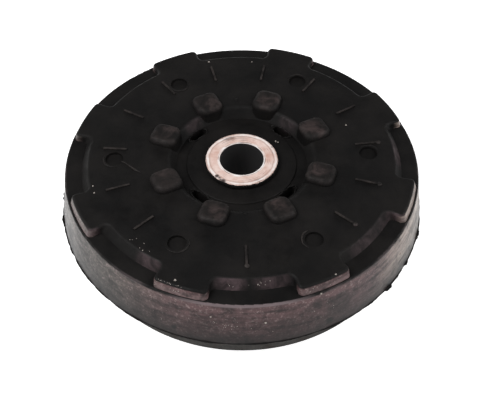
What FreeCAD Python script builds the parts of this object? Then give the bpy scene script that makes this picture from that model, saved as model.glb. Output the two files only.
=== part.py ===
import FreeCAD, Part
import math
import os

import Sketcher

# Strut top mount: a round rubber moulding bonded to three steel inserts.
# Millimetres, +Z up along the bush, origin on the surface it rests on.
# Angles run counter-clockwise from +X, seen from above.

os.makedirs("parts", exist_ok=True)
doc = FreeCAD.newDocument("strut_top_mount")

# Driving dimensions: name, value, what it is
SIZES = [
    ("skirt_radius", 60.4, "widest edge of the rubber, at the mould's parting line"),
    ("skirt_height", 12.5, "height of that edge above the rest plane"),
    ("skirt_undercut", 1.2, "rise of the skirt's underside from the neck to the edge"),
    ("wall_flare", 2.4, "how far the wall leans in from there up to the ledge"),
    ("ledge_height", 28.8, "ledge that runs round in front of the pads"),
    ("ledge_round", 0.65, "rounding of the wall's upper edge"),
    ("pad_height", 3.0, "rise of the rim pads and the top face above the ledge"),
    ("pad_setback", 0.65, "width of the ledge in front of a rim pad"),
    ("pad_lean", 0.9, "how far a rim pad's outer face leans in"),
    ("pad_sector", 17.7, "angle that one rim pad takes up"),
    ("pad_phase", 26.2, "angle of the first rim pad's middle"),
    ("pad_corner_round", 1.6, "rounding of the pads' upright corners"),
    ("pad_round", 1.1, "rounding of the top face's castellated outline"),
    ("castellation_count", 8, "rim pads, and the blocks in line with them"),
    ("gap_ledge", 5.5, "width of the ledge in a gap between two pads"),
    ("gap_lean", 2.3, "how far a gap's inner wall leans in"),
    ("well_radius", 24.0, "edge of the central well at the top face"),
    ("well_lean", 2.4, "how far the well's wall slopes in"),
    ("well_depth", 3.6, "depth of the groove between that wall and the collar"),
    ("well_round", 2.2, "rounding of the well's edge"),
    ("collar_radius", 18.0, "top edge of the rubber collar round the bush"),
    ("collar_lean", 0.3, "how far the collar's foot stands out"),
    ("collar_rise", 0.5, "rise of the collar above the groove"),
    ("collar_round", 0.3, "rounding of the collar's edge"),
    ("block_inner_radius", 22.4, "inner side of a block at its top"),
    ("block_outer_radius", 31.4, "outer side of a block at its top"),
    ("block_width", 8.8, "width of a block at its top"),
    ("block_rise", 2.3, "rise of the blocks above the top face"),
    ("block_draft", 6.0, "slope of the blocks' sides"),
    ("block_corner", 2.6, "rounding of the blocks' upright corners, at their top"),
    ("block_round", 1.9, "rounding of the blocks' tops"),
    ("dimple_inset", 8.55, "from the gaps' inner wall in to the circle of dimples"),
    ("dimple_radius", 2.95, "radius of a dimple left by a locating pin"),
    ("dimple_depth", 0.9, "depth of a dimple"),
    ("dimple_phase", 2.0, "angle of the first dimple"),
    ("dimple_count", 6, "dimples"),
    ("rib_inset", 4.45, "from the gaps' inner wall in to a rib's outer end"),
    ("rib_length", 7.8, "length of a thin radial rib"),
    ("rib_width", 0.7, "width of a rib"),
    ("rib_rise", 0.45, "height of a rib above the top face"),
    ("rib_pitch", 24.0, "angle from one rib to the next"),
    ("rib_start", 319.9, "angle of the first rib of the long row"),
    ("rib_count", 12, "ribs in the long row"),
    ("rib_single", 272.0, "angle of the rib that stands alone"),
    ("pocket_margin", 0.35, "floor left between a pocket and the groove's two walls"),
    ("pocket_width", 6.5, "width of a pocket across the radius"),
    ("pocket_corner", 1.1, "rounding of a pocket's corners"),
    ("pocket_depth", 4.0, "depth of a pocket below the groove"),
    ("pocket_phase", 48.0, "angle of the first pocket"),
    ("pocket_count", 4, "pockets"),
    ("bore_radius", 7.1, "clearance bore for a 14 mm rod"),
    ("bush_radius", 11.95, "outside of the bush, above its shoulder"),
    ("bush_shoulder", 1.75, "width of the shoulder that carries the core plate"),
    ("bush_proud", 1.7, "how far the bush's upper face stands above the collar"),
    ("bush_bottom", 5.0, "height of the bush's lower face"),
    ("bush_bore_chamfer", 0.15, "chamfer of the bore's ends"),
    ("bush_rim_chamfer", 0.2, "chamfer of the bush's outer edges"),
    ("plate_seat", 16.4, "height of the bush's shoulder"),
    ("plate_thickness", 3.0, "sheet of the core plate"),
    ("plate_flat_radius", 21.5, "flat middle of the core plate, on its upper side"),
    ("plate_radius", 32.0, "outer edge of the core plate, on its upper side"),
    ("plate_slope", 24.0, "angle at which the plate's rim is dished down"),
    ("plate_bend", 2.5, "inside radius of the plate's bend"),
    ("seat_height", 4.0, "height of the seat ring's bearing face"),
    ("seat_thickness", 2.5, "sheet of the seat ring"),
    ("seat_inner_radius", 34.0, "inner edge of the seat ring"),
    ("seat_cover", 5.9, "how far the skirt's edge stands out past the seat ring"),
    ("seat_bend", 1.0, "inside radius of the seat ring's bend"),
    ("neck_inset", 3.8, "from the seat ring's outside in to the rubber neck"),
    ("hollow_wall", 3.5, "rubber between the underside's hollow and the seat ring"),
    ("hollow_lean", 2.5, "how far the hollow's outer wall leans in"),
    ("hollow_roof", 9.5, "height of the hollow's roof"),
    ("hollow_round", 1.0, "rounding in the underside"),
    ("shroud_wall", 3.4, "rubber round the bush's lower end"),
    ("shroud_lean", 1.2, "how far the shroud's foot stands out"),
    ("shroud_setback", 1.6, "bare length of the bush below the shroud"),
]

NEAR = 0.01  # how close an edge has to lie to the place it is picked by

sheet = doc.addObject("Spreadsheet::Sheet", "Sizes")
for row, (alias, value, meaning) in enumerate(SIZES, start=1):
    sheet.set(f"A{row}", meaning)
    sheet.set(f"B{row}", str(value))
    sheet.setAlias(f"B{row}", alias)
doc.recompute()


def size(expression):
    """The present value of an expression on the sheet."""
    return float(sheet.evalExpression(expression))


def named(word):
    return f"Sizes.{word}"


# Places worked out from the driving dimensions, as expressions for the sheet

ledge_radius = "(Sizes.skirt_radius - Sizes.wall_flare)"
pad_foot_radius = f"({ledge_radius} - Sizes.pad_setback)"
pad_radius = f"({pad_foot_radius} - Sizes.pad_lean)"
gap_foot_radius = f"({ledge_radius} - Sizes.gap_ledge)"
gap_radius = f"({gap_foot_radius} - Sizes.gap_lean)"
top_height = "(Sizes.ledge_height + Sizes.pad_height)"
block_top = f"({top_height} + Sizes.block_rise)"
well_floor = f"({top_height} - Sizes.well_depth)"
well_foot_radius = "(Sizes.well_radius - Sizes.well_lean)"
collar_foot_radius = "(Sizes.collar_radius + Sizes.collar_lean)"
collar_height = f"({well_floor} + Sizes.collar_rise)"
bush_top = f"({collar_height} + Sizes.bush_proud)"
bush_lower_radius = "(Sizes.bush_radius + Sizes.bush_shoulder)"
seat_radius = "(Sizes.skirt_radius - Sizes.seat_cover)"
seat_top = "(Sizes.seat_height + Sizes.seat_thickness)"
neck_radius = f"({seat_radius} - Sizes.neck_inset)"
hollow_radius = "(Sizes.seat_inner_radius - Sizes.hollow_wall)"
hollow_roof_radius = f"({hollow_radius} - Sizes.hollow_lean)"
shroud_radius = f"({bush_lower_radius} + Sizes.shroud_wall)"
shroud_foot_radius = f"({shroud_radius} + Sizes.shroud_lean)"
shroud_bottom = "(Sizes.bush_bottom + Sizes.shroud_setback)"
castellation = "360 / Sizes.castellation_count"

# Helpers that draw, turn, repeat and round


def new_body(label):
    body = doc.addObject("PartDesign::Body", label)
    body.Label = label
    return body


def new_sketch(body, name, role, turn=None, lift=None):
    """A sketch on one of the body's own origin planes, turned about Z and lifted by named sizes."""
    sketch = body.newObject("Sketcher::SketchObject", name)
    plane = next(p for p in body.Origin.OriginFeatures if p.Role == role)
    sketch.AttachmentSupport = [(plane, "")]
    sketch.MapMode = "FlatFace"
    if turn:
        upright = role == "XZ_Plane"
        axis = FreeCAD.Vector(0, 1, 0) if upright else FreeCAD.Vector(0, 0, 1)
        sketch.AttachmentOffset = FreeCAD.Placement(FreeCAD.Vector(), FreeCAD.Rotation(axis, size(turn)))
        sketch.setExpression("AttachmentOffset.Rotation.Angle", turn)
    if lift:
        sketch.setExpression("AttachmentOffset.Base.z", lift)
    return sketch


def draw_outline(sketch, corners):
    """A closed outline through corners that are each given as two expressions."""
    places = [FreeCAD.Vector(size(x), size(y), 0) for x, y in corners]
    count = len(places)
    for i in range(count):
        sketch.addGeometry(Part.LineSegment(places[i], places[(i + 1) % count]), False)
    for i in range(count):
        sketch.addConstraint(Sketcher.Constraint("Coincident", i, 2, (i + 1) % count, 1))
    for i, (x, y) in enumerate(corners):
        for kind, value, expression in (("DistanceX", places[i].x, x), ("DistanceY", places[i].y, y)):
            if abs(value) < 1e-9:
                on_axis = -2 if kind == "DistanceX" else -1
                sketch.addConstraint(Sketcher.Constraint("PointOnObject", i, 1, on_axis))
                continue
            index = sketch.addConstraint(Sketcher.Constraint(kind, -1, 1, i, 1, value))
            sketch.setExpression(f"Constraints[{index}]", expression)


def draw_rounded(sketch, inner, outer, width, radius):
    """A rectangle from inner to outer along X, centred on Y = 0, with rounded corners."""
    low, high, half, arc = size(inner), size(outer), size(width) / 2, size(radius)
    corners = [(low, -half), (high, -half), (high, half), (low, half)]
    directions = [(1, 0), (0, 1), (-1, 0), (0, -1)]
    for i, (x, y) in enumerate(corners):
        along = FreeCAD.Vector(*directions[i], 0)
        inward = FreeCAD.Vector(-along.y, along.x, 0)
        start = FreeCAD.Vector(x, y, 0) + along * arc
        end = FreeCAD.Vector(*corners[(i + 1) % 4], 0) - along * arc
        turn = (i - 1) * math.pi / 2
        round_end = Part.Circle(end + inward * arc, FreeCAD.Vector(0, 0, 1), arc)
        sketch.addGeometry(Part.LineSegment(start, end), False)
        sketch.addGeometry(Part.ArcOfCircle(round_end, turn, turn + math.pi / 2), False)
    for i in range(4):
        side, corner = 2 * i, 2 * i + 1
        sketch.addConstraint(Sketcher.Constraint("Tangent", side, 2, corner, 1))
        sketch.addConstraint(Sketcher.Constraint("Tangent", corner, 2, (side + 2) % 8, 1))
        sketch.addConstraint(Sketcher.Constraint("Horizontal" if i % 2 == 0 else "Vertical", side))
        if i:
            sketch.addConstraint(Sketcher.Constraint("Equal", 1, corner))
    lengths = [
        (Sketcher.Constraint("Radius", 1, arc), radius),
        (Sketcher.Constraint("DistanceX", -1, 1, 6, 1, low), inner),
        (Sketcher.Constraint("DistanceX", -1, 1, 2, 1, high), outer),
        (Sketcher.Constraint("DistanceY", -1, 1, 4, 1, half), f"{width} / 2"),
        (Sketcher.Constraint("DistanceY", 0, 1, -1, 1, half), f"{width} / 2"),
    ]
    for constraint, expression in lengths:
        index = sketch.addConstraint(constraint)
        sketch.setExpression(f"Constraints[{index}]", expression)


def revolve(body, name, sketch):
    turned = body.newObject("PartDesign::Revolution", name)
    turned.Profile = sketch
    turned.ReferenceAxis = (sketch, ["V_Axis"])
    turned.Angle = 360
    doc.recompute()
    return turned


def repeat(body, name, feature, count, angle="360"):
    """The feature repeated about Z."""
    pattern = body.newObject("PartDesign::PolarPattern", name)
    pattern.Originals = [feature]
    pattern.Axis = (next(a for a in body.Origin.OriginFeatures if a.Role == "Z_Axis"), [""])
    pattern.Angle = size(angle)
    pattern.setExpression("Angle", angle)
    pattern.Occurrences = int(size(count))
    pattern.setExpression("Occurrences", count)
    body.Tip = pattern
    doc.recompute()
    return pattern


def dress(body, kind, name, amount, wanted):
    """A fillet or chamfer on the edges of the body's tip that the test picks out."""
    base = body.Tip
    picked = [f"Edge{i}" for i, edge in enumerate(base.Shape.Edges, start=1) if wanted(edge)]
    feature = body.newObject(f"PartDesign::{kind}", name)
    feature.Base = (base, picked)
    target = "Radius" if kind == "Fillet" else "Size"
    setattr(feature, target, size(amount))
    feature.setExpression(target, amount)
    body.Tip = feature
    doc.recompute()
    return feature


def ring_at(*places):
    """A test for the full or part circles about Z at the given radius and height expressions."""
    wanted = [(size(r), size(z)) for r, z in places]

    def test(edge):
        points = [edge.valueAt(p) for p in edge.ParameterRange]
        points.append(edge.valueAt(sum(edge.ParameterRange) / 2))
        return any(
            all(abs(math.hypot(p.x, p.y) - r) < NEAR and abs(p.z - z) < NEAR for p in points)
            for r, z in wanted
        )

    return test


# Centre bush: a turned sleeve with a shoulder for the core plate

bush = new_body("centre_bush")
profile = new_sketch(bush, "bush_profile", "XZ_Plane")
draw_outline(
    profile,
    [
        (named("bore_radius"), named("bush_bottom")),
        (bush_lower_radius, named("bush_bottom")),
        (bush_lower_radius, named("plate_seat")),
        (named("bush_radius"), named("plate_seat")),
        (named("bush_radius"), bush_top),
        (named("bore_radius"), bush_top),
    ],
)
revolve(bush, "bush_turned", profile)
dress(
    bush, "Chamfer", "bore_chamfers", named("bush_bore_chamfer"),
    ring_at((named("bore_radius"), named("bush_bottom")), (named("bore_radius"), bush_top)),
)
dress(
    bush, "Chamfer", "rim_chamfers", named("bush_rim_chamfer"),
    ring_at((bush_lower_radius, named("bush_bottom")), (named("bush_radius"), bush_top)),
)

# Core plate: sheet of one thickness, flat in the middle and dished down at the rim

plate = new_body("core_plate")
profile = new_sketch(plate, "plate_profile", "XZ_Plane")
slope = "Sizes.plate_slope * 1deg"
plate_top = "Sizes.plate_seat + Sizes.plate_thickness"
plate_drop = f"(Sizes.plate_radius - Sizes.plate_flat_radius) * tan({slope})"
plate_corner = f"Sizes.plate_flat_radius - Sizes.plate_thickness * tan({slope} / 2)"
draw_outline(
    profile,
    [
        (named("bush_radius"), named("plate_seat")),
        (plate_corner, named("plate_seat")),
        (
            f"Sizes.plate_radius - Sizes.plate_thickness * sin({slope})",
            f"{plate_top} - {plate_drop} - Sizes.plate_thickness * cos({slope})",
        ),
        (named("plate_radius"), f"{plate_top} - {plate_drop}"),
        (named("plate_flat_radius"), plate_top),
        (named("bush_radius"), plate_top),
    ],
)
revolve(plate, "plate_pressed", profile)
dress(plate, "Fillet", "bend_inside", named("plate_bend"), ring_at((plate_corner, named("plate_seat"))))
dress(
    plate, "Fillet", "bend_outside", "Sizes.plate_bend + Sizes.plate_thickness",
    ring_at((named("plate_flat_radius"), plate_top)),
)

# Bearing seat ring: a flat web with its outer edge turned down

seat = new_body("bearing_seat_ring")
profile = new_sketch(seat, "seat_profile", "XZ_Plane")
seat_wall = f"{seat_radius} - Sizes.seat_thickness"
draw_outline(
    profile,
    [
        (named("seat_inner_radius"), named("seat_height")),
        (seat_wall, named("seat_height")),
        (seat_wall, "0"),
        (seat_radius, "0"),
        (seat_radius, seat_top),
        (named("seat_inner_radius"), seat_top),
    ],
)
revolve(seat, "seat_pressed", profile)
dress(seat, "Fillet", "seat_bend_inside", named("seat_bend"), ring_at((seat_wall, named("seat_height"))))
dress(
    seat, "Fillet", "seat_bend_outside", "Sizes.seat_bend + Sizes.seat_thickness",
    ring_at((seat_radius, seat_top)),
)

# Rubber moulding: the whole mould cavity, before the inserts are taken out of it

moulding = new_body("mould_cavity")
profile = new_sketch(moulding, "moulding_profile", "XZ_Plane")
inside_bush = "(Sizes.bore_radius + Sizes.bush_radius) / 2"
inside_seat = "Sizes.seat_height + Sizes.seat_thickness / 2"
lip_radius = "Sizes.seat_inner_radius + Sizes.seat_thickness"
draw_outline(
    profile,
    [
        (inside_bush, shroud_bottom),
        (shroud_radius, shroud_bottom),
        (shroud_foot_radius, named("hollow_roof")),
        (hollow_roof_radius, named("hollow_roof")),
        (hollow_radius, named("seat_height")),
        (lip_radius, named("seat_height")),
        (lip_radius, inside_seat),
        (neck_radius, inside_seat),
        (neck_radius, "Sizes.skirt_height - Sizes.skirt_undercut"),
        (named("skirt_radius"), named("skirt_height")),
        (ledge_radius, named("ledge_height")),
        (pad_foot_radius, named("ledge_height")),
        (pad_radius, top_height),
        (named("well_radius"), top_height),
        (well_foot_radius, well_floor),
        (collar_foot_radius, well_floor),
        (named("collar_radius"), collar_height),
        (inside_bush, collar_height),
    ],
)
revolve(moulding, "moulding_turned", profile)
dress(
    moulding, "Fillet", "ledge_edge", named("ledge_round"),
    ring_at((ledge_radius, named("ledge_height"))),
)
dress(moulding, "Fillet", "well_edge", named("well_round"), ring_at((named("well_radius"), top_height)))
dress(
    moulding, "Fillet", "collar_edge", named("collar_round"),
    ring_at((named("collar_radius"), collar_height)),
)
dress(
    moulding, "Fillet", "underside_edges", named("hollow_round"),
    ring_at(
        (shroud_radius, shroud_bottom),
        (shroud_foot_radius, named("hollow_roof")),
        (hollow_roof_radius, named("hollow_roof")),
        (hollow_radius, named("seat_height")),
    ),
)

# The gaps between the rim pads, cut down to the ledge, past its edge and through the top face

gap_phase = f"(Sizes.pad_phase - {castellation} / 2) * 1deg"
profile = new_sketch(moulding, "gap_profile", "XZ_Plane", turn=gap_phase)
past_ledge = f"{ledge_radius} + Sizes.ledge_round"
past_top = f"{top_height} + Sizes.pad_round"
lean = "Sizes.gap_lean / Sizes.pad_height"
draw_outline(
    profile,
    [
        (gap_foot_radius, named("ledge_height")),
        (past_ledge, named("ledge_height")),
        (past_ledge, past_top),
        (f"{gap_radius} - {lean} * Sizes.pad_round", past_top),
    ],
)
gap = moulding.newObject("PartDesign::Groove", "gap")
gap.Profile = profile
gap.ReferenceAxis = (profile, ["V_Axis"])
gap.Midplane = True
gap.setExpression("Angle", f"{castellation} - Sizes.pad_sector")
doc.recompute()
repeat(moulding, "gaps", gap, named("castellation_count"))


def pad_corner_edge(edge):
    """The upright corners of the rim pads, outer and inner."""
    heights = sorted(vertex.Point.z for vertex in edge.Vertexes)
    span = [size("Sizes.ledge_height"), size(top_height)]
    return len(heights) == 2 and all(abs(a - b) < NEAR for a, b in zip(heights, span))


def pad_top_edge(edge):
    """The whole castellated outline of the top face."""
    middle = edge.valueAt(sum(edge.ParameterRange) / 2)
    at_top = abs(middle.z - size(top_height)) < NEAR
    return at_top and math.hypot(middle.x, middle.y) > size(f"{gap_radius} - Sizes.pad_round")


dress(moulding, "Fillet", "pad_corners", named("pad_corner_round"), pad_corner_edge)
dress(moulding, "Fillet", "pad_edges", named("pad_round"), pad_top_edge)

# The blocks round the well, in line with the rim pads: drawn at their tops, widening down to the groove

block_phase = "Sizes.pad_phase * 1deg"
profile = new_sketch(moulding, "block_profile", "XY_Plane", turn=block_phase, lift=block_top)
draw_rounded(
    profile, named("block_inner_radius"), named("block_outer_radius"), named("block_width"),
    named("block_corner"),
)
block = moulding.newObject("PartDesign::Pad", "block")
block.Profile = profile
block.Reversed = True
block.setExpression("Length", f"{block_top} - {well_floor}")
block.setExpression("TaperAngle", "Sizes.block_draft * 1deg")
doc.recompute()
repeat(moulding, "blocks", block, named("castellation_count"))


def block_top_edge(edge):
    """The outline of a block's top."""
    return all(abs(vertex.Point.z - size(block_top)) < NEAR for vertex in edge.Vertexes)


dress(moulding, "Fillet", "block_edges", named("block_round"), block_top_edge)

# The marks of the mould: dimples left by locating pins, pockets in the groove and thin ribs

dimple_phase = "Sizes.dimple_phase * 1deg"
profile = new_sketch(moulding, "dimple_profile", "XY_Plane", turn=dimple_phase, lift=top_height)
dimple_circle = f"{gap_radius} - Sizes.dimple_inset"
circle = Part.Circle(
    FreeCAD.Vector(size(dimple_circle), 0, 0), FreeCAD.Vector(0, 0, 1), size(named("dimple_radius"))
)
profile.addGeometry(circle, False)
index = profile.addConstraint(Sketcher.Constraint("Radius", 0, circle.Radius))
profile.setExpression(f"Constraints[{index}]", named("dimple_radius"))
index = profile.addConstraint(Sketcher.Constraint("DistanceX", -1, 1, 0, 3, circle.Center.x))
profile.setExpression(f"Constraints[{index}]", dimple_circle)
profile.addConstraint(Sketcher.Constraint("PointOnObject", 0, 3, -1))
dimple = moulding.newObject("PartDesign::Pocket", "dimple")
dimple.Profile = profile
dimple.setExpression("Length", named("dimple_depth"))
doc.recompute()
repeat(moulding, "dimples", dimple, named("dimple_count"))

pocket_phase = "Sizes.pocket_phase * 1deg"
profile = new_sketch(moulding, "pocket_profile", "XY_Plane", turn=pocket_phase, lift=well_floor)
draw_rounded(
    profile, f"{collar_foot_radius} + Sizes.pocket_margin", f"{well_foot_radius} - Sizes.pocket_margin",
    named("pocket_width"), named("pocket_corner"),
)
pocket = moulding.newObject("PartDesign::Pocket", "pocket")
pocket.Profile = profile
pocket.setExpression("Length", named("pocket_depth"))
doc.recompute()
repeat(moulding, "pockets", pocket, named("pocket_count"))


def add_rib(name, angle):
    """A thin radial rib on the top face."""
    sketch = new_sketch(moulding, f"{name}_profile", "XY_Plane", turn=f"{angle} * 1deg", lift=top_height)
    rib_outer = f"{gap_radius} - Sizes.rib_inset"
    rib_inner = f"{rib_outer} - Sizes.rib_length"
    draw_outline(
        sketch,
        [
            (rib_inner, "-Sizes.rib_width / 2"),
            (rib_outer, "-Sizes.rib_width / 2"),
            (rib_outer, "Sizes.rib_width / 2"),
            (rib_inner, "Sizes.rib_width / 2"),
        ],
    )
    rib = moulding.newObject("PartDesign::Pad", name)
    rib.Profile = sketch
    rib.setExpression("Length", named("rib_rise"))
    moulding.Tip = rib
    doc.recompute()
    return rib


add_rib("lone_rib", named("rib_single"))
rib = add_rib("rib", named("rib_start"))
repeat(moulding, "ribs", rib, named("rib_count"), "(Sizes.rib_count - 1) * Sizes.rib_pitch")

# The rubber fills the cavity round the three inserts, and meets them face to face

rubber = moulding
for step, insert in enumerate((bush, plate, seat), start=1):
    left = doc.addObject("Part::Cut", f"round_insert_{step}")
    left.Base = rubber
    left.Tool = insert
    rubber = left
rubber.Label = "rubber_body"
doc.recompute()

# Check every object, then write each piece to its own file

for item in doc.Objects:
    if "Invalid" in item.State or "Error" in item.State:
        raise RuntimeError(f"{item.Name} failed: {item.State}")

for piece in (rubber, bush, plate, seat):
    shape = piece.Shape
    if shape.isNull() or not shape.isValid() or len(shape.Solids) != 1:
        raise RuntimeError(f"{piece.Label} is not one valid solid")
    shape.exportStep(f"parts/{piece.Label}.step")
    print(f"{piece.Label}: {shape.Volume:.1f} mm3")
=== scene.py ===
import math

import bmesh
import bpy
import numpy as np
from mathutils import Matrix, Vector


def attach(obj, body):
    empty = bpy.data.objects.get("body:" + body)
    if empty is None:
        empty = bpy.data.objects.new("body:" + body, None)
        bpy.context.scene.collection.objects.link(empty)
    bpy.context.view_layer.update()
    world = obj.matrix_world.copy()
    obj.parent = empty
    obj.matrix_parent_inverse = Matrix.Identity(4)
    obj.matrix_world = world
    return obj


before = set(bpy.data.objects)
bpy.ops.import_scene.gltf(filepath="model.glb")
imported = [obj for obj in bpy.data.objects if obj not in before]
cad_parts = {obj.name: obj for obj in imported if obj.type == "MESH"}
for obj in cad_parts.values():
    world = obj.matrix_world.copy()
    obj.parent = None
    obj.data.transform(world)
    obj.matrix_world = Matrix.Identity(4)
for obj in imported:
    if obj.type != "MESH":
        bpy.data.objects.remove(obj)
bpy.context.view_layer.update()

mm = 0.001  # lengths below are written in millimetres and turned to metres with this

# Camera
# The photograph is 478 x 400 pixels. Its lens, place and tilt were fitted to the rim circles of the mount.

photo = {
    "width": 478,           # pixels
    "focalPixels": 967.8,   # focal length in the photograph's own pixels
    "place": (0.106, -222.221, 258.733),  # mm
    "azimuth": 0.259,       # degrees, 0 looks along +Y
    "elevation": 48.207,
    "roll": -0.065,
}


def addCamera():
    lens = bpy.data.cameras.new("photoCamera")
    lens.sensor_fit = "HORIZONTAL"
    lens.sensor_width = 36.0
    lens.lens = photo["focalPixels"] * lens.sensor_width / photo["width"]
    lens.clip_start = 10 * mm
    cam = bpy.data.objects.new("photoCamera", lens)
    turn = Matrix.Rotation(math.radians(photo["azimuth"]), 4, "Z")
    tilt = Matrix.Rotation(math.radians(90 - photo["elevation"]), 4, "X")
    roll = Matrix.Rotation(math.radians(photo["roll"]), 4, "Z")
    cam.matrix_world = Matrix.Translation(Vector(photo["place"]) * mm) @ turn @ tilt @ roll
    bpy.context.collection.objects.link(cam)
    bpy.context.scene.camera = cam


addCamera()
print("camera is set")

# Colour and node helpers


# sRGB hex to linear: up to 0.04045 divided by 12.92, above it the 2.4 power
def linear(hexColour):
    parts = [int(hexColour[i:i + 2], 16) / 255 for i in (1, 3, 5)]
    return tuple(c / 12.92 if c <= 0.04045 else ((c + 0.055) / 1.055) ** 2.4 for c in parts) + (1.0,)


# One node: links and values are given by the socket's name or number, stops are (position, hex) of a colour ramp
def add(tree, kind, links=None, values=None, stops=None, **settings):
    node = tree.nodes.new(kind)
    for name, value in settings.items():
        setattr(node, name, value)
    for socket, value in (values or {}).items():
        node.inputs[socket].default_value = value
    for socket, source in (links or {}).items():
        tree.links.new(source, node.inputs[socket])
    for i, (position, colour) in enumerate(stops or ()):
        band = node.color_ramp.elements
        stop = band[i] if i < len(band) else band.new(position)
        stop.position = position
        stop.color = linear(colour)
    return node


def newMaterial(name):
    mat = bpy.data.materials.new(name)
    mat.use_nodes = True
    mat.node_tree.nodes.clear()
    return mat, mat.node_tree


# Place on the piece in mm, so that a noise of scale 1 / s has clouds that are s mm wide
def placeInMm(tree):
    coord = add(tree, "ShaderNodeTexCoord").outputs["Object"]
    return add(tree, "ShaderNodeVectorMath", {0: coord}, {"Scale": 1 / mm}, operation="SCALE").outputs["Vector"]


# Distance from the bush's axis: the length of the place once its height is 0
def axisDistance(tree, place):
    flat = add(tree, "ShaderNodeVectorMath", {0: place}, {1: (1, 1, 0)}, operation="MULTIPLY").outputs["Vector"]
    return add(tree, "ShaderNodeVectorMath", {0: flat}, operation="LENGTH").outputs["Value"]


# How far the surface faces up: 1 on top, 0 on an upright wall, -1 below
def facingUp(tree):
    normal = add(tree, "ShaderNodeNewGeometry").outputs["Normal"]
    return add(tree, "ShaderNodeSeparateXYZ", {"Vector": normal}).outputs["Z"]


# Soft balls, given by x, y, z and reach in mm and by strength. Each falls from its full strength, which it has up to
# the given part of its reach, to 0. Where balls overlap, the stronger one counts.
def nearSpots(tree, place, spots, fullWithin=0.35):
    strongest = None
    for x, y, z, reach, strength in spots:
        away = add(tree, "ShaderNodeVectorMath", {0: place}, {1: (x, y, z)}, operation="DISTANCE").outputs["Value"]
        near = add(
            tree, "ShaderNodeMapRange", {"Value": away},
            {"From Min": reach, "From Max": reach * fullWithin, "To Max": strength},
            interpolation_type="SMOOTHSTEP",
        ).outputs["Result"]
        if strongest is None:
            strongest = near
        else:
            strongest = add(tree, "ShaderNodeMath", {0: strongest, 1: near}, operation="MAXIMUM").outputs[0]
    return strongest


# Moulded rubber
# Natural rubber filled with carbon black, pressed in a steel mould. Its top is near black and dull. The upright faces
# of the rim carry a pale bloom of wax and mould release, blotched and darker towards the bottom; their paleness is
# partly a painted reflection of the white floor, with painted highlights at the right end, along the front of the top
# edge and at the pads' feet.

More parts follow.
